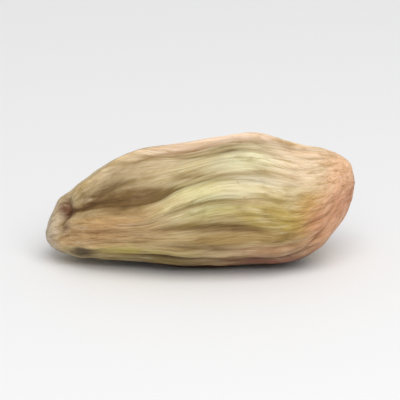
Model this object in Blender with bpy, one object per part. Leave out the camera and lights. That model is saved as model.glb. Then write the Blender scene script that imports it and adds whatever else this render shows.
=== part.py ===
"""A whole shelled pistachio kernel, lying on its side.

+X runs from the pointed tip to the blunt end, -Y is the front, +Z is up, and the origin is the middle of
the base, on the surface that the kernel lies on. The kernel grew as one seed, so it is one solid.

Its form is worked out on a ball whose poles become the kernel's two ends. A point's share says how far
along the kernel it lies, from 0 at the tip to 1 at the blunt end. Its turn is the angle round the long
axis, in degrees: 0 at the front, 90 on top, 180 at the back and 270 underneath.
"""

from typing import NamedTuple

import bmesh
import bpy
import numpy as np
from mathutils import Vector

MM = 0.001

# Driving dimensions
LENGTH = 17.6 * MM
SEGMENTS_ROUND = 100
RINGS_ALONG = 58
FLAT_SPOT_DEPTH = 0.16 * MM

# How the folds run: they fade over this share of the length, wander to each side by these degrees, and
# have a soft V for a profile, which a lower sharpness makes narrower at its foot
FOLD_FADE = 0.14
WANDER = 1.5
WANDERS_ALONG = 2.3
FOLD_SHARPNESS = 1.3

# How a dent's bowl and a ring's bar end: a higher number gives a broader floor and a clearer edge
DENT_EDGE = 3
RING_EDGE = 4

# The relief dies away where the section closes below the second of these shares of its full size
POLE_CALM = (0.05, 0.42)

# Finish of the dried seed skin
SKIN_COLOUR = (0.56, 0.42, 0.22, 1.0)
SKIN_ROUGHNESS = 0.5


class Section(NamedTuple):
    """The ellipse that the kernel follows at one share of its length, in millimetres.

    The half sizes are those of a full ellipsoid's middle, and they close towards the ends as it does.
    """

    share: float
    half_height: float
    half_width: float
    centre_height: float
    centre_depth: float


class Fold(NamedTuple):
    """A crease or a ridge in the skin that runs along the kernel.

    The path is its (share, turn) route. A negative rise is a crease's depth in millimetres, and the width
    is the half width in degrees of turn. It runs in full from the start's share to the end's.
    """

    path: tuple
    rise: float
    width: float
    start: float
    end: float


class Dent(NamedTuple):
    """A hollow centred on one share and turn, its depth in millimetres. A negative one is a swelling."""

    share: float
    turn: float
    depth: float
    half_share: float
    half_turn: float


class Ring(NamedTuple):
    """A crease or ridge that runs part of the way round the kernel, nearly square to the folds.

    The slant is how much its share grows with each degree of turn.
    """

    share: float
    turn: float
    rise: float
    half_share: float
    half_turn: float
    slant: float


class Wave(NamedTuple):
    """A slow unevenness of the whole seed: its height in millimetres and how often it goes round.

    The lean is how far the wave slides round from the tip to the blunt end, in radians of its own phase.
    """

    height: float
    times_round: int
    lean: float
    phase: float


SECTIONS = (
    Section(0.00, 3.70, 3.30, 1.56, 0.10),
    Section(0.10, 3.54, 3.55, 2.26, 0.05),
    Section(0.25, 3.51, 3.95, 3.13, -0.05),
    Section(0.45, 3.38, 4.20, 3.30, -0.12),
    Section(0.65, 3.74, 4.38, 3.62, 0.00),
    Section(0.85, 3.96, 4.62, 3.45, 0.14),
    Section(1.00, 3.95, 4.70, 4.70, 0.10),
)

# The main ridge of the front runs under the hollow and climbs out of it towards the blunt end. The mesh
# leans to follow it, most at the ball's meridian of 32.4 degrees and less over the reach to each side.
MAIN_RIDGE = (
    (0.08, 27), (0.16, 19), (0.25, 13), (0.32, 15),
    (0.42, 29), (0.52, 37), (0.66, 36), (0.90, 36),
)
RIDGE_MERIDIAN = 9 * 360 / SEGMENTS_ROUND
RIDGE_REACH = 32

FOLDS = (
    Fold(MAIN_RIDGE, 0.30, 9, 0.16, 0.78),
    # The crease above it, which bounds the hollow
    Fold(((0.08, 43), (0.18, 34), (0.28, 27), (0.35, 33), (0.42, 46)), -0.30, 9, 0.14, 0.32),
    # The raised seam along the top, where the two seed leaves meet under the skin
    Fold(((0.04, 72), (0.15, 82), (0.30, 93), (0.48, 103), (0.68, 106), (0.90, 102)), 0.24, 7, 0.10, 0.84),
    # Creases of the front, from the top seam down to the underside
    Fold(((0.30, 92), (0.60, 80), (0.90, 73)), -0.18, 6, 0.46, 0.72),
    Fold(((0.34, 60), (0.47, 55), (0.62, 48), (0.92, 46)), -0.12, 6, 0.48, 0.70),
    Fold(((0.30, 8), (0.46, 23), (0.62, 25), (0.90, 24)), -0.10, 5, 0.50, 0.66),
    Fold(((0.24, 0), (0.44, 1), (0.54, -1), (0.66, -4), (0.90, -6)), -0.24, 6, 0.44, 0.61),
    Fold(((0.04, 0), (0.20, -2), (0.40, -5)), -0.12, 4, 0.12, 0.22),
    Fold(((0.30, -16), (0.60, -25), (0.92, -27)), -0.20, 5, 0.50, 0.76),
    Fold(((0.06, -36), (0.50, -44), (0.92, -42)), -0.20, 6, 0.22, 0.78),
    Fold(((0.12, -60), (0.50, -66), (0.96, -62)), -0.18, 6, 0.30, 0.76),
    # Creases of the back, from the top seam down to the underside
    Fold(((0.04, 102), (0.40, 120), (0.90, 118)), -0.22, 5, 0.18, 0.62),
    Fold(((0.10, 124), (0.50, 138), (0.94, 132)), -0.22, 5, 0.40, 0.78),
    Fold(((0.02, 142), (0.45, 153), (0.90, 152)), -0.20, 5, 0.18, 0.50),
    Fold(((0.02, 168), (0.35, 173), (0.70, 169), (0.97, 174)), -0.34, 6, 0.16, 0.80),
    Fold(((0.10, 190), (0.50, 196), (0.94, 192)), -0.20, 5, 0.40, 0.76),
    Fold(((0.03, 208), (0.45, 218), (0.90, 216)), -0.26, 6, 0.20, 0.60),
    Fold(((0.20, 234), (0.60, 238), (0.96, 232)), -0.20, 6, 0.44, 0.80),
)

DENTS = (
    # The hollow face between the tip and the front's ridges, its deep end, and the flat above it
    Dent(0.235, 43, 0.56, 0.140, 23),
    Dent(0.345, 37, 0.22, 0.060, 12),
    Dent(0.370, 68, 0.14, 0.090, 16),
    # Flat faces and swellings of the back and the underside
    Dent(0.62, 156, 0.34, 0.170, 18),
    Dent(0.28, 194, 0.26, 0.120, 20),
    Dent(0.74, 222, -0.20, 0.160, 26),
    Dent(0.42, 128, -0.18, 0.180, 24),
    Dent(0.52, 250, -0.13, 0.280, 18),
)

RINGS = (
    # The curled lip of the tip and the crease behind it, deepest where it meets the hollow
    Ring(0.030, 46, 0.20, 0.018, 66, 0.0003),
    Ring(0.064, 58, -0.32, 0.016, 50, 0.0003),
    Ring(0.080, 200, -0.10, 0.022, 50, 0.0),
    # The rounded edge where the front turns into the blunt end
    Ring(0.895, 20, 0.16, 0.026, 60, -0.0003),
)

WAVES = (
    Wave(0.10, 2, 4.0, 0.6),
    Wave(0.08, 3, -5.0, 2.1),
    Wave(0.05, 5, 9.0, 4.0),
)


def along(stations, share):
    """A smooth curve through (share, value) stations, with each slope taken from the neighbours."""
    at, value = np.array(stations, float).T
    slope = np.gradient(value, at)
    share = np.clip(share, at[0], at[-1])
    i = np.clip(np.searchsorted(at, share) - 1, 0, len(at) - 2)
    span = at[i + 1] - at[i]
    f = (share - at[i]) / span
    return (
        (1 + 2 * f) * (1 - f) ** 2 * value[i]
        + f * (1 - f) ** 2 * span * slope[i]
        + f**2 * (3 - 2 * f) * value[i + 1]
        + f**2 * (f - 1) * span * slope[i + 1]
    )


def turn_between(turn, other):
    """The signed angle from other to turn, in degrees, between -180 and 180."""
    return (turn - other + 180) % 360 - 180


def smooth_step(low, high, value):
    """0 below low, 1 above high, and an even S curve between them."""
    f = np.clip((value - low) / (high - low), 0, 1)
    return f * f * (3 - 2 * f)


def fold_relief(fold, share, turn):
    """How far a fold lifts the skin, in millimetres: a soft V that fades at both ends of its run."""
    first_turn = fold.path[0][1]
    wander = WANDER * np.sin(2 * np.pi * WANDERS_ALONG * share + first_turn)
    off = np.abs(turn_between(turn, along(fold.path, share) + wander)) / fold.width
    run = smooth_step(fold.start - FOLD_FADE, fold.start, share) * (
        1 - smooth_step(fold.end, fold.end + FOLD_FADE, share)
    )
    return fold.rise * run * np.exp(-(off**FOLD_SHARPNESS))


def dent_relief(dent, share, turn):
    """How far a dent lifts the skin, in millimetres: a bowl with a broad floor, so mostly below zero."""
    along_it = (share - dent.share) / dent.half_share
    round_it = turn_between(turn, dent.turn) / dent.half_turn
    return -dent.depth * np.exp(-(np.hypot(along_it, round_it) ** DENT_EDGE))


def ring_relief(ring, share, turn):
    """How far a ring lifts the skin, in millimetres: a soft bar round the kernel, faded at its ends."""
    off = turn_between(turn, ring.turn)
    along_it = (share - ring.share - ring.slant * off) / ring.half_share
    return ring.rise * np.exp(-(along_it**2) - (off / ring.half_turn) ** RING_EDGE)


def wave_relief(wave, share, turn):
    """How far a slow wave lifts the skin, in millimetres."""
    return wave.height * np.sin(wave.times_round * np.radians(turn) + wave.lean * share + wave.phase)


def relief(share, turn):
    """How far all the folds, dents, rings and waves lift the skin, in millimetres."""
    return (
        sum(fold_relief(fold, share, turn) for fold in FOLDS)
        + sum(dent_relief(dent, share, turn) for dent in DENTS)
        + sum(ring_relief(ring, share, turn) for ring in RINGS)
        + sum(wave_relief(wave, share, turn) for wave in WAVES)
    )


def surface(share, turn):
    """The kernel's skin at each share and turn, as an array of points in metres.

    The point lies on the section's ellipse, and the relief then moves it along the ellipsoid's outward
    direction. The relief dies away at the two ends, where all turns meet in one point.
    """
    stations = np.array(SECTIONS)
    half_height, half_width, centre_height, centre_depth = (
        along(stations[:, [0, column]], share) for column in range(1, 5)
    )
    length = LENGTH / MM
    angle = np.radians(turn)
    closing = np.sqrt(np.clip(4 * share * (1 - share), 0, None))
    lift = relief(share, turn) * smooth_step(*POLE_CALM, closing)
    outward = np.stack(
        [
            (2 * share - 1) / (length / 2),
            -closing * np.cos(angle) / half_width,
            closing * np.sin(angle) / half_height,
        ],
        axis=-1,
    )
    outward /= np.linalg.norm(outward, axis=-1, keepdims=True)
    base = np.stack(
        [
            (share - 0.5) * length,
            centre_depth - half_width * closing * np.cos(angle),
            centre_height + half_height * closing * np.sin(angle),
        ],
        axis=-1,
    )
    return (base + lift[..., None] * outward) * MM


def follow_main_ridge(share, turn):
    """Leans the ball's meridians on the front, so that the main ridge runs along one and stays clean."""
    nearness = np.exp(-((turn_between(turn, RIDGE_MERIDIAN) / RIDGE_REACH) ** 2))
    return turn + nearness * (along(MAIN_RIDGE, share) - RIDGE_MERIDIAN)


def shape_ball(bm):
    """Moves each vertex of a unit ball, whose poles are on Z, to its place on the kernel's skin."""
    ball = np.array([vertex.co for vertex in bm.verts])
    share = (1 + ball[:, 2]) / 2
    turn = follow_main_ridge(share, np.degrees(np.arctan2(ball[:, 1], ball[:, 0])))
    for vertex, point in zip(bm.verts, surface(share, turn)):
        vertex.co = Vector(point)


def cut_flat_spot(bm):
    """Slices off the lowest skin with a level plane, and closes the slice with one flat face."""
    height = min(vertex.co.z for vertex in bm.verts) + FLAT_SPOT_DEPTH
    cut = bmesh.ops.bisect_plane(
        bm,
        geom=bm.verts[:] + bm.edges[:] + bm.faces[:],
        plane_co=(0, 0, height),
        plane_no=(0, 0, -1),
        clear_outer=True,
    )
    rim = [item for item in cut["geom_cut"] if isinstance(item, bmesh.types.BMEdge)]
    bmesh.ops.contextual_create(bm, geom=rim)


def stand_on_origin(bm):
    """Moves the kernel so that the middle of its footprint, level with the flat spot, is the origin."""
    points = np.array([vertex.co for vertex in bm.verts])
    low, high = points.min(axis=0), points.max(axis=0)
    middle = (low + high) / 2
    bmesh.ops.translate(bm, verts=bm.verts, vec=Vector((-middle[0], -middle[1], -low[2])))


def skin_material():
    """The dry, faintly oily seed skin."""
    material = bpy.data.materials.new("seed_skin")
    material.use_nodes = True
    shader = material.node_tree.nodes["Principled BSDF"]
    shader.inputs["Base Color"].default_value = SKIN_COLOUR
    shader.inputs["Roughness"].default_value = SKIN_ROUGHNESS
    shader.inputs["Metallic"].default_value = 0.0
    material.diffuse_color = SKIN_COLOUR
    return material


def build_kernel():
    """Makes the kernel's one solid and puts it in the scene."""
    bm = bmesh.new()
    bmesh.ops.create_uvsphere(bm, u_segments=SEGMENTS_ROUND, v_segments=RINGS_ALONG, radius=1.0)
    shape_ball(bm)
    cut_flat_spot(bm)
    stand_on_origin(bm)
    bmesh.ops.recalc_face_normals(bm, faces=bm.faces)
    mesh = bpy.data.meshes.new("kernel")
    bm.to_mesh(mesh)
    bm.free()
    mesh.shade_smooth()
    mesh.materials.append(skin_material())
    kernel = bpy.data.objects.new("kernel", mesh)
    bpy.context.scene.collection.objects.link(kernel)
    return kernel


for old in list(bpy.data.objects):
    bpy.data.objects.remove(old)
build_kernel()
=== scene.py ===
"""A whole shelled pistachio kernel, lying on its side, with its skin finished and a pale studio round it.

+X runs from the pointed tip to the blunt end, -Y is the front and +Z is up. A point's share says how far
along the kernel it lies, from 0 at the tip to 1 at the blunt end. Its turn is the angle round the long
axis, in degrees: 0 at the front, 90 on top, 180 at the back and 270 underneath. Its meridian is the same
angle counted along the folds of the front, which climb, so that the main ridge keeps one meridian.
"""

import logging
import math
from dataclasses import astuple, dataclass
from enum import Enum
from typing import Any

import bpy
import numpy as np
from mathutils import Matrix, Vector


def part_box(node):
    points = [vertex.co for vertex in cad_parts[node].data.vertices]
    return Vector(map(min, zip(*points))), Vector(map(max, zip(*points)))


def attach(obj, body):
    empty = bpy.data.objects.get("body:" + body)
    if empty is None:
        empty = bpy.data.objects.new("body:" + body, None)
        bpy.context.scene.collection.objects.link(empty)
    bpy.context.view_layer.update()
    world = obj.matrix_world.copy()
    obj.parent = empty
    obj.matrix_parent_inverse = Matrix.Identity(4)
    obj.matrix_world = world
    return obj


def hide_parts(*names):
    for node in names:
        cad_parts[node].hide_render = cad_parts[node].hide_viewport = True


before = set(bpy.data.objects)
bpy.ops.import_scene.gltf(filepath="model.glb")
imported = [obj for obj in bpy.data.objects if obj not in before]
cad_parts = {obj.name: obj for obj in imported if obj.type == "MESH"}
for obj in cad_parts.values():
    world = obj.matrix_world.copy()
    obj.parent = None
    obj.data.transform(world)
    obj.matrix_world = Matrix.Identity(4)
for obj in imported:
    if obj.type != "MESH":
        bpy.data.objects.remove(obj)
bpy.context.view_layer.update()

MM = 0.001

log = logging.getLogger("pistachio_kernel")

Point = tuple[float, float, float]
Colour = tuple[float, float, float, float]


def turn_between(turn: np.ndarray, other: np.ndarray | float) -> np.ndarray:
    """The signed angle from other to turn, between -180 and 180 degrees.

    Args:
        turn: angles in degrees.
        other: the angle or angles that they are counted from, in degrees.

    Returns:
        The difference, wrapped into one turn that is centred on 0.
    """
    return (turn - other + 180) % 360 - 180


def smooth_step(low: float, high: float, value: np.ndarray) -> np.ndarray:
    """The S curve f * f * (3 - 2 * f), where f runs from 0 at low to 1 at high and stops there.

    Args:
        low: the value where the curve leaves 0.
        high: the value where it reaches 1.
        value: the values to turn into shares.

    Returns:
        Shares between 0 and 1.
    """
    f = np.clip((value - low) / (high - low), 0, 1)
    return f * f * (3 - 2 * f)


def along(stations: tuple, share: np.ndarray) -> np.ndarray:
    """A smooth curve through stations: cubic Hermite pieces with each slope taken from the neighbours.

    Args:
        stations: (share, value) pairs in rising order of share.
        share: where to read the curve. Beyond its ends it keeps its end values.

    Returns:
        The curve's value at each share.
    """
    at, value = np.array(stations, float).T
    slope = np.gradient(value, at)
    share = np.clip(share, at[0], at[-1])
    i = np.clip(np.searchsorted(at, share) - 1, 0, len(at) - 2)
    span = at[i + 1] - at[i]
    f = (share - at[i]) / span
    return (
        (1 + 2 * f) * (1 - f) ** 2 * value[i]
        + f * (1 - f) ** 2 * span * slope[i]
        + f**2 * (3 - 2 * f) * value[i + 1]
        + f**2 * (f - 1) * span * slope[i + 1]
    )


def lattice_noise(points: np.ndarray, seed: int) -> np.ndarray:
    """Smooth noise: random values on a cubic lattice, eased by an S curve between each cell's corners.

    Args:
        points: places in lattice steps, with X, Y and Z on the last axis.
        seed: which lattice of random values to read.

    Returns:
        A value between -1 and 1 for each point.
    """
    size = 48
    values = np.random.default_rng(seed).uniform(-1, 1, (size, size, size))
    cell = np.floor(points).astype(int)
    f = smooth_step(0, 1, points - cell)
    total = np.zeros(points.shape[:-1])
    for corner in np.ndindex(2, 2, 2):
        weight = np.prod(np.where(corner, f, 1 - f), axis=-1)
        at = (cell + corner) % size
        total += weight * values[at[..., 0], at[..., 1], at[..., 2]]
    return total


@dataclass(frozen=True)
class Section:
    """The ellipse that the kernel follows at one share of its length, in millimetres.

    The half sizes are those of a full ellipsoid's middle, and they close towards the ends as it does.
    """

    share: float
    half_height: float
    half_width: float
    centre_height: float
    centre_depth: float


@dataclass(frozen=True)
class Fold:
    """A crease or a ridge in the skin that runs along the kernel.

    The path is its (share, turn) route. A negative rise is a crease's depth in millimetres, and the width
    is the half width in degrees of turn. It runs in full from the start's share to the end's.
    """

    path: tuple[tuple[float, float], ...]
    rise: float
    width: float
    start: float
    end: float
    fade: float = 0.14
    wander: float = 1.5
    wanders_along: float = 2.3
    sharpness: float = 1.3

    def relief(self, share: np.ndarray, turn: np.ndarray) -> np.ndarray:
        """A soft V across the path, rise * exp(-|off| ** sharpness), faded at both ends of its run.

        Args:
            share: shares of the points.
            turn: their turns in degrees.

        Returns:
            How far the fold lifts the skin, in millimetres.
        """
        first_turn = self.path[0][1]
        wander = self.wander * np.sin(2 * np.pi * self.wanders_along * share + first_turn)
        off = np.abs(turn_between(turn, along(self.path, share) + wander)) / self.width
        run = smooth_step(self.start - self.fade, self.start, share) * (
            1 - smooth_step(self.end, self.end + self.fade, share)
        )
        return self.rise * run * np.exp(-(off**self.sharpness))


@dataclass(frozen=True)
class Dent:
    """A hollow centred on one share and turn, its depth in millimetres. A negative one is a swelling."""

    share: float
    turn: float
    depth: float
    half_share: float
    half_turn: float
    edge: int = 3

    def relief(self, share: np.ndarray, turn: np.ndarray) -> np.ndarray:
        """A bowl with a broad floor, -depth * exp(-distance ** edge).

        Args:
            share: shares of the points.
            turn: their turns in degrees.

        Returns:
            How far the dent lifts the skin, in millimetres.
        """
        along_it = (share - self.share) / self.half_share
        round_it = turn_between(turn, self.turn) / self.half_turn
        return -self.depth * np.exp(-(np.hypot(along_it, round_it) ** self.edge))


@dataclass(frozen=True)
class Ring:
    """A crease or ridge that runs part of the way round the kernel, nearly square to the folds.

    The slant is how much its share grows with each degree of turn.
    """

    share: float
    turn: float
    rise: float
    half_share: float
    half_turn: float
    slant: float
    edge: int = 4

    def relief(self, share: np.ndarray, turn: np.ndarray) -> np.ndarray:
        """A soft bar round the kernel, faded at its ends: rise * exp(-along ** 2 - round ** edge).

        Args:
            share: shares of the points.
            turn: their turns in degrees.

        Returns:
            How far the ring lifts the skin, in millimetres.
        """
        off = turn_between(turn, self.turn)
        along_it = (share - self.share - self.slant * off) / self.half_share
        return self.rise * np.exp(-(along_it**2) - (off / self.half_turn) ** self.edge)


@dataclass(frozen=True)
class Wave:
    """A slow unevenness of the whole seed: its height in millimetres and how often it goes round.

    The lean is how far the wave slides round from the tip to the blunt end, in radians of its own phase.
    """

    height: float
    times_round: int
    lean: float
    phase: float

    def relief(self, share: np.ndarray, turn: np.ndarray) -> np.ndarray:
        """A sine wave round the kernel whose phase slides along it.

        Args:
            share: shares of the points.
            turn: their turns in degrees.

        Returns:
            How far the wave lifts the skin, in millimetres.
        """
        return self.height * np.sin(
            self.times_round * np.radians(turn) + self.lean * share + self.phase
        )


class Profile(Enum):
    """How a layer of noise is shaped into fine relief."""

    SWELL = "soft rises and falls"
    CREASED = "narrow creases between rounded swells"
    PITTED = "small pits in a level skin"


@dataclass(frozen=True)
class Grain:
    """A layer of fine relief in the skin. Its sizes and its height are in millimetres."""

    along: float
    across: float
    height: float
    profile: Profile
    seed: int
    sharpness: float = 0.6
    pit_levels: tuple[float, float] = (0.45, 0.8)

    def relief(self, flow: np.ndarray) -> np.ndarray:
        """Noise stretched along the kernel and shaped by the profile.

        A swell is the noise itself. Creases are 2 * |noise| ** sharpness - 1, whose kinks at 0 are the
        creases. Pits are an S curve of the noise, from 0 at the first pit level to 1 at the second.

        Args:
            flow: the skin's flow coordinates in millimetres, from Kernel.flow.

        Returns:
            How far the layer lifts the skin, in millimetres.
        """
        noise = lattice_noise(flow / (self.along, self.across, self.across), self.seed)
        if self.profile is Profile.CREASED:
            return self.height * (2 * np.abs(noise) ** self.sharpness - 1)
        if self.profile is Profile.PITTED:
            return -self.height * smooth_step(*self.pit_levels, noise)
        return self.height * noise


@dataclass(frozen=True)
class Drift:
    """Noise that moves the places where the colours are read, by up to its reach. Its sizes are in mm."""

    along: float
    across: float
    reach: float
    seed: int

    def shift(self, flow: np.ndarray) -> np.ndarray:
        """How far each point's place moves, reach * noise, from its flow coordinates in millimetres."""
        return self.reach * lattice_noise(flow / (self.along, self.across, self.across), self.seed)


def linear(red: int, green: int, blue: int) -> Colour:
    """A colour as a shader wants it, by the sRGB curve.

    Args:
        red: the red part from 0 to 255.
        green: the green part.
        blue: the blue part.

    Returns:
        The same colour as linear light, with full alpha.
    """
    parts = (part / 255 for part in (red, green, blue))
    light = (part / 12.92 if part <= 0.04045 else ((part + 0.055) / 1.055) ** 2.4 for part in parts)
    return (*light, 1.0)


@dataclass(frozen=True)
class Area:
    """A soft-edged area of the skin, centred on one share and turn."""

    share: float
    turn: float
    half_share: float
    half_turn: float
    edge: int = 2

    def mask(self, share: np.ndarray, turn: np.ndarray) -> np.ndarray:
        """The area's strength, exp(-distance ** edge).

        Args:
            share: shares of the points.
            turn: their turns in degrees.

        Returns:
            A share between 0 and 1 for each point.
        """
        along_it = (share - self.share) / self.half_share
        round_it = turn_between(turn, self.turn) / self.half_turn
        return np.exp(-(np.hypot(along_it, round_it) ** self.edge))


class Value:
    """A shader socket that stands in Python expressions. Each operation adds a Math node."""

    def __init__(self, tree: "ShaderTree", socket: bpy.types.NodeSocket) -> None:
        """Wraps an output socket of a node in the tree."""
        self.tree = tree
        self.socket = socket

    def math(self, operation: str, first: "Value | float", second: "Value | float" = 0.0) -> "Value":
        """Adds a Math node.

        Args:
            operation: the Math node's operation.
            first: its first value.
            second: its second value, where the operation has one.

        Returns:
            The node's result.
        """
        return self.tree.node(
            "ShaderNodeMath", {"operation": operation}, {"Value": first, "Value_001": second}
        )

    def __add__(self, other: "Value | float") -> "Value":
        """self + other."""
        return self.math("ADD", self, other)

    def __radd__(self, other: float) -> "Value":
        """other + self."""
        return self.math("ADD", other, self)

    def __sub__(self, other: "Value | float") -> "Value":
        """self - other."""
        return self.math("SUBTRACT", self, other)

    def __rsub__(self, other: float) -> "Value":
        """other - self."""
        return self.math("SUBTRACT", other, self)

    def __mul__(self, other: "Value | float") -> "Value":
        """self * other."""
        return self.math("MULTIPLY", self, other)

    def __rmul__(self, other: float) -> "Value":
        """other * self."""
        return self.math("MULTIPLY", other, self)

    def rise(self, low: float, high: float) -> "Value":
        """A share that climbs by an S curve from 0 at low to 1 at high. With high below low it falls.

        Args:
            low: the value where the share is 0.
            high: the value where it is 1.

        Returns:
            The share.
        """
        return self.tree.node(
            "ShaderNodeMapRange",
            {"interpolation_type": "SMOOTHSTEP"},
            {"Value": self, "From Min": low, "From Max": high},
        )


class ShaderTree:
    """A new material's node tree. Nodes are added to it one call at a time."""

    def __init__(self, name: str) -> None:
        """Makes the material and empties its tree."""
        self.material = bpy.data.materials.new(name)
        self.material.use_nodes = True
        self.nodes = self.material.node_tree.nodes
        self.links = self.material.node_tree.links
        self.nodes.clear()

    def node(
        self,
        kind: str,
        settings: dict[str, Any] | None = None,
        inputs: dict[str, Any] | None = None,
        output: str | None = None,
    ) -> Value:
        """Adds a node, sets it up, and then sets or links its sockets.

        Args:
            kind: the node's type.
            settings: its own settings by name, such as a Math node's operation.
            inputs: by socket identifier, a Value to link or a plain value to set.
            output: the identifier of the result. Without it the first result in use is taken.

        Returns:
            The result's socket.
        """
        made = self.nodes.new(kind)
        for name, setting in (settings or {}).items():
            setattr(made, name, setting)
        sockets = {socket.identifier: socket for socket in made.inputs}
        for name, value in (inputs or {}).items():
            if isinstance(value, Value):
                self.links.new(value.socket, sockets[name])
            else:
                sockets[name].default_value = value
        results = [s for s in made.outputs if s.enabled and output in (None, s.identifier)]
        return Value(self, results[0]) if results else None

    def attribute(self, name: str, output: str = "Fac") -> Value:
        """Reads a named attribute of the mesh, as a number or by output="Vector" as a vector."""
        return self.node("ShaderNodeAttribute", {"attribute_name": name}, output=output)

    def mix(self, share: Value | float, first: Value | Colour, second: Value | Colour) -> Value:
        """Blends two colours.

        Args:
            share: how much of the second colour to take, from 0 to 1.
            first: the colour at 0.
            second: the colour at 1.

        Returns:
            The blended colour.
        """
        return self.node(
            "ShaderNodeMix",
            {"data_type": "RGBA", "clamp_factor": True},
            {"Factor_Float": share, "A_Color": first, "B_Color": second},
        )

    def multiply(self, share: Value | float, first: Value, second: Value | Colour) -> Value:
        """Tints a colour by multiplying it with another.

        Args:
            share: how much of the tint to take, from 0 to 1.
            first: the colour to tint.
            second: the tint.

        Returns:
            The tinted colour.
        """
        return self.node(
            "ShaderNodeMix",
            {"data_type": "RGBA", "blend_type": "MULTIPLY", "clamp_factor": True},
            {"Factor_Float": share, "A_Color": first, "B_Color": second},
        )

    def noise(self, place: Value, sizes: Point, detail: float = 2.0, offset: float = 0.0) -> Value:
        """Noise whose features have the given sizes along, across and across again.

        Args:
            place: the coordinates to read it at.
            sizes: the size of its features along each of them, in the same unit.
            detail: how many finer layers it has.
            offset: slides the pattern, so that two noises differ.

        Returns:
            The noise, around 0.5.
        """
        stretched = self.node(
            "ShaderNodeVectorMath",
            {"operation": "MULTIPLY_ADD"},
            {
                "Vector": place,
                "Vector_001": tuple(1 / size for size in sizes),
                "Vector_002": (offset, offset, offset),
            },
        )
        return self.node(
            "ShaderNodeTexNoise",
            {"noise_dimensions": "3D"},
            {"Vector": stretched, "Scale": 1.0, "Detail": detail, "Roughness": 0.55},
            output="Fac",
        )


@dataclass(frozen=True)
class Blend:
    """How a pattern takes a colour: not at all at its first value, and at full strength at its second."""

    none: float
    full: float
    strength: float = 1.0

    def share(self, pattern: Value) -> Value:
        """The S curve between the two values, times the strength."""
        return pattern.rise(self.none, self.full) * self.strength


@dataclass(frozen=True)
class SeedSkin:
    """The dry, faintly oily skin of the seed. Its broad colours, partly painted light and shade, come with
    the mesh, as the tint.

    The sizes of its patterns are in millimetres along the skin, across it and across again.
    """

    cream: Colour = linear(240, 226, 192)
    ridge_highlight_colour: Colour = (1.16, 1.14, 1.08, 1.0)
    crease_shade: Colour = linear(182, 162, 124)
    streak_shade: Colour = linear(198, 184, 140)
    fleck: Colour = linear(126, 92, 56)
    streak_sizes: Point = (3.6, 0.32, 0.32)
    mottle_sizes: Point = (1.6, 0.8, 0.8)
    fleck_sizes: Point = (0.30, 0.16, 0.16)
    wrinkle_sizes: Point = (5.0, 0.30, 0.30)
    wrinkle_width: float = 0.12
    dark_streaks: Blend = Blend(0.46, 0.72, 0.7)
    pale_streaks: Blend = Blend(0.46, 0.24, 0.35)
    dark_mottle: Blend = Blend(0.52, 0.72, 0.5)
    painted_ridge_highlight: Blend = Blend(0.02, 0.18)
    painted_crease_shade: Blend = Blend(0.0, -0.16, 0.9)
    wrinkle_shade: float = 0.14
    dark_flecks: Blend = Blend(0.70, 0.80, 0.4)
    wrinkle_height: float = 0.6
    streak_height: float = 0.6
    mottle_height: float = 0.5
    fleck_height: float = 0.3
    bump_strength: float = 0.8
    bump_mm: float = 0.06
    mottle_roughness: float = 0.25
    streak_roughness: float = 0.2
    roughness: float = 0.52
    specular: float = 0.4
    subsurface: float = 0.14
    subsurface_radius: Point = (1.0, 0.7, 0.35)
    subsurface_mm: float = 0.5

    def material(self) -> bpy.types.Material:
        """The skin's material, whose fine patterns follow the mesh's flow.

        Returns:
            The material.
        """
        tree = ShaderTree("seed_skin")
        flow = tree.attribute("flow", "Vector")
        standing = tree.attribute("standing")
        streaks = tree.noise(flow, self.streak_sizes, detail=4)
        mottle = tree.noise(flow, self.mottle_sizes, detail=3, offset=7.0)
        flecks = tree.noise(flow, self.fleck_sizes, detail=1, offset=11.0)
        wrinkle = tree.noise(flow, self.wrinkle_sizes, detail=2, offset=5.0) - 0.5
        wrinkle = wrinkle.math("ABSOLUTE", wrinkle).rise(0.0, self.wrinkle_width)

        colour = tree.attribute("tint", "Color")
        colour = tree.multiply(self.dark_streaks.share(streaks), colour, self.streak_shade)
        colour = tree.mix(self.pale_streaks.share(streaks), colour, self.cream)
        colour = tree.multiply(self.dark_mottle.share(mottle), colour, self.streak_shade)
        # Painted highlight: the colour is brightened on the crests, where the skin stands above its
        # neighbours
        colour = tree.multiply(self.painted_ridge_highlight.share(standing), colour, self.ridge_highlight_colour)
        # Painted shade: the colour is darkened in the creases, and along the fine wrinkles' grooves in the
        # next line
        colour = tree.multiply(self.painted_crease_shade.share(standing), colour, self.crease_shade)
        colour = tree.multiply((1.0 - wrinkle) * self.wrinkle_shade, colour, self.crease_shade)
        colour = tree.mix(self.dark_flecks.share(flecks), colour, self.fleck)

        height = wrinkle * self.wrinkle_height + streaks * self.streak_height
        height = height + mottle * self.mottle_height + flecks * self.fleck_height
        normal = tree.node(
            "ShaderNodeBump",
            None,
            {"Strength": self.bump_strength, "Distance": self.bump_mm * MM, "Height": height},
        )
        unevenness = (mottle - 0.5) * self.mottle_roughness + (streaks - 0.5) * self.streak_roughness
        shader = tree.node(
            "ShaderNodeBsdfPrincipled",
            None,
            {
                "Base Color": colour,
                "Roughness": unevenness + self.roughness,
                "Normal": normal,
                "Specular IOR Level": self.specular,
                "Subsurface Weight": self.subsurface,
                "Subsurface Radius": self.subsurface_radius,
                "Subsurface Scale": self.subsurface_mm * MM,
            },
        )
        tree.node("ShaderNodeOutputMaterial", None, {"Surface": shader})
        return tree.material


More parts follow.
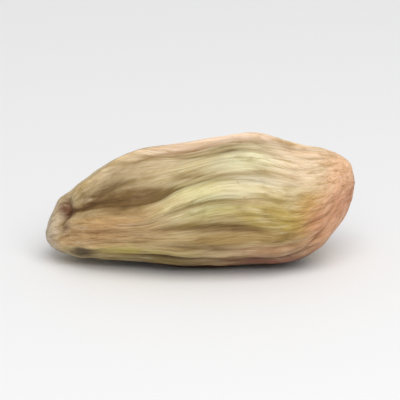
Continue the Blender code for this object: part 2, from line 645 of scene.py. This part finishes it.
@dataclass
class Kernel:
    """The kernel: one seed, grown in one piece. Its sizes are in millimetres and its angles in degrees.

    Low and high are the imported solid's corners in metres, which give its length and its place.
    """

    low: Vector
    high: Vector
    node: str = "kernel"
    rows: int = 224
    columns: int = 420
    flat_spot_depth: float = 0.16
    pole_calm: tuple[float, float] = (0.05, 0.42)
    grain_calm: tuple[float, float] = (0.3, 0.75)
    grain_at_ends: float = 0.3
    ridge_meridian: float = 32.4
    ridge_reach: float = 32.0
    mean_radius: float = 4.0
    gathering: float = 0.6
    tautness: float = 0.55
    neighbours: int = 17
    skin: SeedSkin = SeedSkin()

    MAIN_RIDGE = (
        (0.08, 27), (0.16, 19), (0.25, 13), (0.32, 15),
        (0.42, 29), (0.52, 37), (0.66, 36), (0.90, 36),
    )
    TOP_SEAM = ((0.04, 72), (0.15, 82), (0.30, 93), (0.48, 103), (0.68, 106), (0.90, 102))
    SECTIONS = (
        Section(0.00, 3.70, 3.30, 1.56, 0.10),
        Section(0.10, 3.54, 3.55, 2.26, 0.05),
        Section(0.25, 3.51, 3.95, 3.13, -0.05),
        Section(0.45, 3.38, 4.20, 3.30, -0.12),
        Section(0.65, 3.74, 4.38, 3.62, 0.00),
        Section(0.85, 3.96, 4.62, 3.45, 0.14),
        Section(1.00, 3.95, 4.70, 4.70, 0.10),
    )
    FOLDS = (
        Fold(MAIN_RIDGE, 0.30, 9, 0.16, 0.78),
        # The crease above it, which bounds the hollow
        Fold(((0.08, 43), (0.18, 34), (0.28, 27), (0.35, 33), (0.42, 46)), -0.30, 9, 0.14, 0.32),
        # The raised seam along the top, where the two seed leaves meet under the skin
        Fold(TOP_SEAM, 0.24, 7, 0.10, 0.84),
        # Creases of the front, from the top seam down to the underside
        Fold(((0.30, 92), (0.60, 80), (0.90, 73)), -0.18, 6, 0.46, 0.72),
        Fold(((0.34, 60), (0.47, 55), (0.62, 48), (0.92, 46)), -0.12, 6, 0.48, 0.70),
        Fold(((0.30, 8), (0.46, 23), (0.62, 25), (0.90, 24)), -0.10, 5, 0.50, 0.66),
        Fold(((0.24, 0), (0.44, 1), (0.54, -1), (0.66, -4), (0.90, -6)), -0.24, 6, 0.44, 0.61),
        Fold(((0.04, 0), (0.20, -2), (0.40, -5)), -0.12, 4, 0.12, 0.22),
        Fold(((0.30, -16), (0.60, -25), (0.92, -27)), -0.20, 5, 0.50, 0.76),
        Fold(((0.06, -36), (0.50, -44), (0.92, -42)), -0.20, 6, 0.22, 0.78),
        Fold(((0.12, -60), (0.50, -66), (0.96, -62)), -0.18, 6, 0.30, 0.76),
        # Creases of the back, from the top seam down to the underside
        Fold(((0.04, 102), (0.40, 120), (0.90, 118)), -0.22, 5, 0.18, 0.62),
        Fold(((0.10, 124), (0.50, 138), (0.94, 132)), -0.22, 5, 0.40, 0.78),
        Fold(((0.02, 142), (0.45, 153), (0.90, 152)), -0.20, 5, 0.18, 0.50),
        Fold(((0.02, 168), (0.35, 173), (0.70, 169), (0.97, 174)), -0.34, 6, 0.16, 0.80),
        Fold(((0.10, 190), (0.50, 196), (0.94, 192)), -0.20, 5, 0.40, 0.76),
        Fold(((0.03, 208), (0.45, 218), (0.90, 216)), -0.26, 6, 0.20, 0.60),
        Fold(((0.20, 234), (0.60, 238), (0.96, 232)), -0.20, 6, 0.44, 0.80),
    )
    DENTS = (
        # The hollow face between the tip and the front's ridges, its deep end, and the flat above it
        Dent(0.235, 43, 0.56, 0.140, 23),
        Dent(0.345, 37, 0.22, 0.060, 12),
        Dent(0.370, 68, 0.14, 0.090, 16),
        # Flat faces and swellings of the back and the underside
        Dent(0.62, 156, 0.34, 0.170, 18),
        Dent(0.28, 194, 0.26, 0.120, 20),
        Dent(0.74, 222, -0.20, 0.160, 26),
        Dent(0.42, 128, -0.18, 0.180, 24),
        Dent(0.52, 250, -0.13, 0.280, 18),
    )
    RINGS = (
        # The curled lip of the tip and the crease behind it, deepest where it meets the hollow
        Ring(0.030, 46, 0.20, 0.018, 66, 0.0003),
        Ring(0.064, 58, -0.32, 0.016, 50, 0.0003),
        Ring(0.080, 200, -0.10, 0.022, 50, 0.0),
        # The rounded edge where the front turns into the blunt end
        Ring(0.895, 20, 0.16, 0.026, 60, -0.0003),
    )
    WAVES = (
        Wave(0.10, 2, 4.0, 0.6),
        Wave(0.08, 3, -5.0, 2.1),
        Wave(0.05, 5, 9.0, 4.0),
    )
    GRAINS = (
        # Lengthwise wrinkles of the drying skin, from coarse to fine
        Grain(6.0, 1.10, 0.100, Profile.CREASED, 11),
        Grain(4.0, 0.60, 0.070, Profile.CREASED, 12),
        Grain(2.6, 0.30, 0.036, Profile.CREASED, 13),
        # Faint puckers across them, and pits
        Grain(0.7, 1.6, 0.016, Profile.SWELL, 14),
        Grain(0.50, 0.36, 0.020, Profile.PITTED, 15),
    )
    # Where the skin lies taut, over the pale ridges of the front's blunt half
    TAUT = Area(0.77, 42, 0.20, 44, 4)
    # How far the colours' places drift, in shares and in degrees of turn
    SHARE_DRIFT = Drift(1.6, 0.9, 0.045, 21)
    TURN_DRIFTS = (Drift(3.4, 0.8, 6, 22), Drift(0.7, 0.7, 3, 23))
    BASE_TINT = linear(202, 184, 142)
    TINTS = (
        # Tan of the narrow end, cream and a dark mottle above the hollow, and the paler flat beyond it
        (linear(198, 158, 108), Area(0.18, 0, 0.24, 28)),
        (linear(200, 176, 138), Area(0.24, 78, 0.17, 32)),
        (linear(148, 124, 84), Area(0.20, 56, 0.08, 11)),
        (linear(226, 202, 164), Area(0.39, 83, 0.06, 13)),
        # The upper ridge's pale crest, where it starts, and painted shade in the crease over it
        (linear(236, 231, 192), Area(0.68, 66, 0.13, 13)),
        (linear(206, 188, 142), Area(0.50, 72, 0.07, 16)),
        (linear(166, 146, 102), Area(0.61, 76, 0.05, 6)),
        # The main ridge's lower side where it leaves the hollow, and the rim over the hollow
        (linear(222, 204, 162), Area(0.45, 22, 0.05, 11)),
        (linear(214, 190, 152), Area(0.33, 90, 0.09, 11)),
        # The cream shoulder of the blunt half, with a painted highlight on its top
        (linear(235, 209, 175), Area(0.83, 68, 0.11, 34, 3)),
        (linear(255, 220, 184), Area(0.85, 90, 0.08, 10)),
        # The main ridge, cream with a painted highlight along it, and the cream and green bands under it
        (linear(208, 200, 152), Area(0.49, 38, 0.11, 9)),
        (linear(208, 197, 170), Area(0.71, 37, 0.12, 9)),
        (linear(216, 212, 164), Area(0.55, 24, 0.14, 10)),
        (linear(238, 222, 180), Area(0.70, 25, 0.09, 6)),
        (linear(188, 176, 112), Area(0.60, 14, 0.10, 6)),
        # The yellow-green patch and its orange edge
        (linear(190, 164, 82), Area(0.785, 2, 0.130, 22, 3)),
        (linear(194, 158, 84), Area(0.855, 22, 0.060, 16)),
        # The dark olive groove and the folds under it, pinker towards the blunt end, their darkness partly
        # olive skin and partly painted shade
        (linear(140, 116, 56), Area(0.46, 4, 0.09, 6)),
        (linear(172, 148, 78), Area(0.67, 3, 0.07, 9)),
        (linear(160, 132, 80), Area(0.60, -15, 0.22, 13, 4)),
        (linear(146, 118, 58), Area(0.76, -14, 0.05, 8)),
        (linear(196, 156, 112), Area(0.73, -33, 0.12, 7)),
        (linear(206, 150, 112), Area(0.89, -12, 0.06, 30)),
        # The underside: yellow-green, olive and reddish skin, partly darkened with painted shade, then a
        # painted shadow under the tip, and painted shade darkest where it turns under
        (linear(200, 182, 98), Area(0.27, -30, 0.14, 9)),
        (linear(128, 110, 58), Area(0.36, -50, 0.22, 12)),
        (linear(94, 76, 48), Area(0.125, -35, 0.06, 13, 3)),
        (linear(128, 76, 60), Area(0.74, -54, 0.22, 17)),
        (linear(84, 60, 34), Area(0.52, -72, 0.50, 16, 4)),
        # The hollow face, its two ends and its lower edge, brown skin partly darkened with painted shade of
        # the hollow, and painted shade in the crease behind the lip
        (linear(170, 144, 100), Area(0.24, 38, 0.15, 15, 3)),
        (linear(138, 108, 66), Area(0.14, 45, 0.05, 12)),
        (linear(162, 138, 96), Area(0.345, 42, 0.045, 10)),
        (linear(152, 124, 82), Area(0.24, 20, 0.12, 8)),
        (linear(118, 78, 48), Area(0.066, 56, 0.026, 44, 4)),
        # Rim along the top
        (linear(240, 212, 188), Area(0.52, 106, 0.34, 13, 4)),
        # Blush of the side that grew towards the light, with its deeper parts
        (linear(156, 84, 88), Area(0.60, 190, 0.46, 62, 4)),
        (linear(108, 54, 68), Area(0.66, 168, 0.26, 20)),
        (linear(116, 60, 70), Area(0.44, 212, 0.26, 16)),
        # Peach of the blunt end, pinker below, and the pale lip of the tip
        (linear(244, 200, 162), Area(1.0, 60, 0.10, 900, 4)),
        (linear(198, 140, 106), Area(1.0, -20, 0.12, 60)),
        (linear(206, 186, 160), Area(0.0, 20, 0.044, 900, 6)),
    )

    def grid(self) -> tuple[np.ndarray, np.ndarray]:
        """The skin's rows and columns, without the two poles.

        A row's share is (1 - cos(angle)) / 2, which spaces the rows as on a ball, closer at the ends.

        Returns:
            The share and the meridian at each row and column.
        """
        angle = np.pi * np.arange(1, self.rows) / self.rows
        share = (1 - np.cos(angle)) / 2
        meridian = 360 * np.arange(self.columns) / self.columns
        return tuple(np.meshgrid(share, meridian, indexing="ij"))

    def closing(self, share: np.ndarray) -> np.ndarray:
        """How wide an ellipsoid is at a share of its length, as a part of its middle's width.

        Args:
            share: shares of the points.

        Returns:
            sqrt(4 * share * (1 - share)).
        """
        return np.sqrt(np.clip(4 * share * (1 - share), 0, None))

    def turn_at(self, share: np.ndarray, meridian: np.ndarray) -> np.ndarray:
        """Leans the meridians of the front, by a bell curve round the main ridge, so that they follow it.

        Args:
            share: shares of the points.
            meridian: their meridians in degrees.

        Returns:
            Their turns in degrees.
        """
        nearness = np.exp(-((turn_between(meridian, self.ridge_meridian) / self.ridge_reach) ** 2))
        return meridian + nearness * (along(self.MAIN_RIDGE, share) - self.ridge_meridian)

    def flow(self, share: np.ndarray, meridian: np.ndarray) -> np.ndarray:
        """Coordinates that follow the skin: distance along it, and a circle round it.

        The circle's radius is mean_radius * closing ** gathering. With a gathering of 1 it closes as the
        kernel does, and below that the skin's patterns gather towards the two ends.

        Args:
            share: shares of the points.
            meridian: their meridians in degrees.

        Returns:
            The coordinates in millimetres, with no seam anywhere round the kernel.
        """
        angle = np.radians(meridian)
        length = (self.high.x - self.low.x) / MM
        radius = self.mean_radius * self.closing(share) ** self.gathering
        return np.stack([share * length, radius * np.cos(angle), radius * np.sin(angle)], axis=-1)

    def main_relief(self, share: np.ndarray, turn: np.ndarray) -> np.ndarray:
        """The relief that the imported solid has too: the sum of the folds, dents, rings and waves.

        It dies away at the two poles, where all turns meet in one point.

        Args:
            share: shares of the points.
            turn: their turns in degrees.

        Returns:
            How far it lifts the skin, in millimetres.
        """
        forms = (*self.FOLDS, *self.DENTS, *self.RINGS, *self.WAVES)
        calm = smooth_step(*self.pole_calm, self.closing(share))
        return calm * sum(form.relief(share, turn) for form in forms)

    def fine_relief(self, share: np.ndarray, meridian: np.ndarray) -> np.ndarray:
        """The relief that only the dressed kernel has: the sum of the grains.

        It is calmer on the two ends and where the skin lies taut.

        Args:
            share: shares of the points.
            meridian: their meridians in degrees.

        Returns:
            How far it lifts the skin, in millimetres.
        """
        flow = self.flow(share, meridian)
        middle = smooth_step(*self.grain_calm, self.closing(share))
        calm = self.grain_at_ends + (1 - self.grain_at_ends) * middle
        calm *= 1 - self.tautness * self.TAUT.mask(share, meridian)
        return calm * sum(grain.relief(flow) for grain in self.GRAINS)

    def surface(self, share: np.ndarray, turn: np.ndarray, lift: np.ndarray) -> np.ndarray:
        """Points on an ellipse whose size and centre change along the kernel, moved outwards by the lift.

        The ellipse closes towards the ends as an ellipsoid does, and outwards is that ellipsoid's own
        direction.

        Args:
            share: shares of the points.
            turn: their turns in degrees.
            lift: how far to move each point outwards, in millimetres.

        Returns:
            The points in millimetres, not yet stood on the origin.
        """
        stations = np.array([astuple(section) for section in self.SECTIONS])
        half_height, half_width, centre_height, centre_depth = (
            along(stations[:, [0, column]], share) for column in range(1, 5)
        )
        length = (self.high.x - self.low.x) / MM
        angle = np.radians(turn)
        closing = self.closing(share)
        outward = np.stack(
            [
                (2 * share - 1) / (length / 2),
                -closing * np.cos(angle) / half_width,
                closing * np.sin(angle) / half_height,
            ],
            axis=-1,
        )
        outward /= np.linalg.norm(outward, axis=-1, keepdims=True)
        base = np.stack(
            [
                (share - 0.5) * length,
                centre_depth - half_width * closing * np.cos(angle),
                centre_height + half_height * closing * np.sin(angle),
            ],
            axis=-1,
        )
        return base + lift[..., None] * outward

    def with_poles(self, inner: np.ndarray, tip: np.ndarray, blunt: np.ndarray) -> np.ndarray:
        """Puts the tip's row before a grid of rows and the blunt end's after it, as one list."""
        return np.concatenate([tip[None], inner.reshape(-1, *inner.shape[2:]), blunt[None]])

    def faces(self) -> list[list[int]]:
        """The vertex numbers of each face: a fan at either pole, and four-sided faces between the rows.

        Returns:
            The faces, with their outer sides out.
        """
        inner = self.rows - 1
        number = 1 + np.arange(inner * self.columns).reshape(inner, self.columns)
        beside = np.roll(number, -1, axis=1)
        quads = np.stack([number[:-1], number[1:], beside[1:], beside[:-1]], axis=-1).reshape(-1, 4)
        last = inner * self.columns + 1
        tip = np.stack([np.zeros_like(number[0]), number[0], beside[0]], axis=-1)
        blunt = np.stack([number[-1], np.full_like(number[-1], last), beside[-1]], axis=-1)
        return quads.tolist() + tip.tolist() + blunt.tolist()

    def standing(self, lift: np.ndarray) -> np.ndarray:
        """How far each point stands above the skin to both sides: its lift less its neighbours' mean lift.

        Args:
            lift: the relief at each row and column, in millimetres.

        Returns:
            The difference in millimetres, below 0 in a crease.
        """
        steps = range(-self.neighbours, self.neighbours + 1)
        return lift - sum(np.roll(lift, step, axis=1) for step in steps) / len(steps)

    def tint(self, share: np.ndarray, turn: np.ndarray, flow: np.ndarray) -> np.ndarray:
        """The skin's broad colours: each area's colour laid over the last, colour + mask * (area - colour).

        Noise that is stretched along the kernel first moves the places where the areas are read, which
        breaks their edges up into streaks. It moves them less along the kernel near its two ends.

        Args:
            share: shares of the points.
            turn: their turns in degrees.
            flow: their flow coordinates in millimetres.

        Returns:
            The linear colour of each point.
        """
        share = share + self.closing(share) ** 2 * self.SHARE_DRIFT.shift(flow)
        turn = turn + sum(drift.shift(flow) for drift in self.TURN_DRIFTS)
        colour = np.zeros((*share.shape, 4)) + self.BASE_TINT
        # Some areas are painted shade or painted highlights, laid over the skin's own colours like the rest
        for area_colour, area in self.TINTS:
            colour += area.mask(share, turn)[..., None] * (np.array(area_colour) - colour)
        return colour

    def build(self) -> bpy.types.Object:
        """Works out the skin, puts it into a mesh and dresses it.

        Returns:
            The kernel's object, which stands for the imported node.
        """
        share, meridian = self.grid()
        turn = self.turn_at(share, meridian)
        main = self.main_relief(share, turn)
        fine = self.fine_relief(share, meridian)
        plain = self.surface(share, turn, main)
        ends = np.array([0.0, 1.0])
        poles = self.surface(ends, np.zeros(2), self.fine_relief(ends, np.zeros(2)))
        corners = plain.reshape(-1, 3)
        middle = (corners.min(axis=0) + corners.max(axis=0)) / 2
        middle[2] = corners[:, 2].min() + self.flat_spot_depth
        place = np.array([(self.low.x + self.high.x) / 2, (self.low.y + self.high.y) / 2, self.low.z])
        points = self.with_poles(self.surface(share, turn, main + fine), *poles)
        points = (points - middle) * MM + place
        points[:, 2] = np.maximum(points[:, 2], self.low.z)

        mesh = bpy.data.meshes.new("pistachio_kernel")
        mesh.from_pydata(points, [], self.faces())
        mesh.shade_smooth()
        flow = self.with_poles(self.flow(share, meridian), *self.flow(ends, np.zeros(2)))
        mesh.attributes.new("flow", "FLOAT_VECTOR", "POINT").data.foreach_set("vector", flow.ravel())
        standing = self.with_poles(self.standing(main + fine), *np.zeros(2))
        mesh.attributes.new("standing", "FLOAT", "POINT").data.foreach_set("value", standing)
        tint = self.tint(share, turn, self.flow(share, meridian))
        tint = self.with_poles(tint, tint[0].mean(axis=0), tint[-1].mean(axis=0))
        mesh.attributes.new("tint", "FLOAT_COLOR", "POINT").data.foreach_set("color", tint.ravel())
        mesh.materials.append(self.skin.material())
        piece = bpy.data.objects.new("pistachio_kernel", mesh)
        bpy.context.scene.collection.objects.link(piece)
        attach(piece, "root")
        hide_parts(self.node)
        log.info("%s: %d faces", piece.name, len(mesh.polygons))
        return piece


@dataclass
class Studio:
    """The pale floor, the soft lights and the camera."""

    floor_half_side: float = 2.0
    floor_colour: Colour = (0.9, 0.9, 0.905, 1.0)
    floor_roughness: float = 0.6
    sky_strength: float = 0.47
    key_place: Point = (0.05, -0.15, 0.24)
    key_side: float = 0.26
    key_watts: float = 0.70
    camera_elevation: float = 20.0
    camera_distance: float = 0.30
    frame_width: float = 0.0228
    sensor: float = 36.0

    def floor(self) -> bpy.types.Object:
        """A level square that the kernel lies on.

        Returns:
            The floor, which isn't part of the object.
        """
        half = self.floor_half_side
        corners = [(-half, -half, 0), (half, -half, 0), (half, half, 0), (-half, half, 0)]
        mesh = bpy.data.meshes.new("floor")
        mesh.from_pydata(corners, [], [(0, 1, 2, 3)])
        tree = ShaderTree("pale_floor")
        shader = tree.node(
            "ShaderNodeBsdfPrincipled",
            None,
            {"Base Color": self.floor_colour, "Roughness": self.floor_roughness},
        )
        tree.node("ShaderNodeOutputMaterial", None, {"Surface": shader})
        mesh.materials.append(tree.material)
        floor = bpy.data.objects.new("floor", mesh)
        bpy.context.scene.collection.objects.link(floor)
        return floor

    def softbox(self, name: str, place: Point, target: Point, side: float, watts: float) -> None:
        """A square area light that faces a target.

        Args:
            name: the light's name.
            place: where it hangs, in metres.
            target: what it faces.
            side: the length of its side.
            watts: its power.
        """
        light = bpy.data.lights.new(name, "AREA")
        light.size = side
        light.energy = watts
        holder = bpy.data.objects.new(name, light)
        holder.location = place
        holder.rotation_mode = "QUATERNION"
        holder.rotation_quaternion = (Vector(target) - Vector(place)).to_track_quat("-Z", "Y")
        bpy.context.scene.collection.objects.link(holder)

    def sky(self) -> None:
        """An even white world."""
        world = bpy.data.worlds.new("studio")
        bpy.context.scene.world = world
        world.use_nodes = True
        background = world.node_tree.nodes["Background"]
        background.inputs["Color"].default_value = (1.0, 1.0, 1.0, 1.0)
        background.inputs["Strength"].default_value = self.sky_strength

    def camera(self, low: Vector, high: Vector) -> None:
        """A camera with a long lens that looks along +Y and down at the object's middle.

        The lens makes the picture as wide as frame_width at the object's distance.

        Args:
            low: the object's lowest corner.
            high: its highest corner.
        """
        elevation = math.radians(self.camera_elevation)
        back = Vector((0, -math.cos(elevation), math.sin(elevation)))
        camera = bpy.data.cameras.new("camera")
        camera.sensor_width = self.sensor
        camera.lens = self.sensor * self.camera_distance / self.frame_width
        camera.clip_start = 0.01
        camera.clip_end = 10.0
        holder = bpy.data.objects.new("camera", camera)
        holder.location = (low + high) / 2 + back * self.camera_distance
        holder.rotation_mode = "QUATERNION"
        holder.rotation_quaternion = (-back).to_track_quat("-Z", "Y")
        bpy.context.scene.collection.objects.link(holder)
        bpy.context.scene.camera = holder

    def build(self, low: Vector, high: Vector) -> None:
        """Sets up the whole studio round the object.

        Args:
            low: the object's lowest corner.
            high: its highest corner.
        """
        bpy.context.scene.view_settings.view_transform = "Standard"
        self.floor()
        self.sky()
        self.softbox("key", self.key_place, (0, 0, 0), self.key_side, self.key_watts)
        self.camera(low, high)
        log.info("studio: floor, sky, key light and camera")


def main() -> None:
    """Builds the kernel and the studio."""
    logging.basicConfig(level=logging.INFO, format="%(name)s: %(message)s")
    low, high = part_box("kernel")
    Kernel(low, high).build()
    Studio().build(low, high)
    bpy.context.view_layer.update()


if __name__ == "__main__":
    main()
